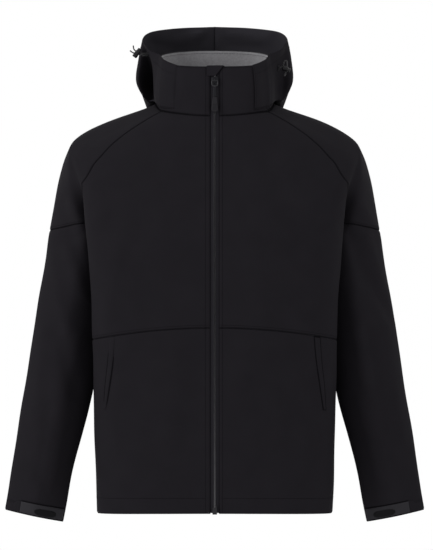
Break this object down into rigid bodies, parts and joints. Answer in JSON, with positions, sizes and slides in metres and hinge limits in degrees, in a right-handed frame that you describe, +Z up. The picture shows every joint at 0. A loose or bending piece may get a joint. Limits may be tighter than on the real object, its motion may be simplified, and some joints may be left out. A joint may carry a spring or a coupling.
{
  "type": "softshell jacket",
  "caption": "Hooded softshell jacket, filled out as worn, with raglan sleeves, a stand collar, a full zip, welt pockets and cuff tabs.",
  "frame": {"origin": "middle of the neck opening, level with the neck ends of the shoulders, where the wearer's neck and shoulders hold the jacket up", "axes": "+Z up along the wearer's spine, -Y out of the front, +X towards the wearer's left"},
  "size_m": [0.754, 0.3262, 0.8976],
  "materials": {
    "shell": "matte",
    "lining": "brushed fleece",
    "tape": "matte woven",
    "zip": "satin",
    "metal": "satin black",
    "moulded": "satin",
    "cord": "round braid"
  },
  "bodies": {
    "garment": {"front_upper_left": "shell", "front_upper_right": "shell", "front_lower_left": "shell", "front_lower_right": "shell", "back": "shell", "sleeve_upper_left": "shell", "sleeve_upper_right": "shell", "sleeve_lower_left": "shell", "sleeve_lower_right": "shell", "collar": "shell", "hood_left": "shell", "hood_right": "shell", "zip_garage": "shell", "pocket_welt_left": "shell", "pocket_welt_right": "shell", "cuff_tab_left": "shell", "cuff_tab_right": "shell", "collar_lining": "lining", "zip_tape_left": "tape", "zip_tape_right": "tape", "zip_chain": "zip", "zip_stop": "zip", "zip_slider": "metal", "eyelet_left": "metal", "eyelet_right": "metal", "cuff_grip_left": "moulded", "cuff_grip_right": "moulded", "cord_lock_left": "moulded", "cord_lock_right": "moulded", "hood_cord_right_1": "cord", "hood_cord_right_2": "cord", "hood_cord_left": "cord"},
    "pull": {"zip_link": "metal", "zip_pull": "moulded"}
  },
  "joints": [
    {"name": "pull_swing", "type": "hinge", "parent": "garment", "child": "pull", "pos_m": [0, -0.08481, 0.03957], "axis": [-1, 0, 0], "range_deg": [0, 150]}
  ]
}
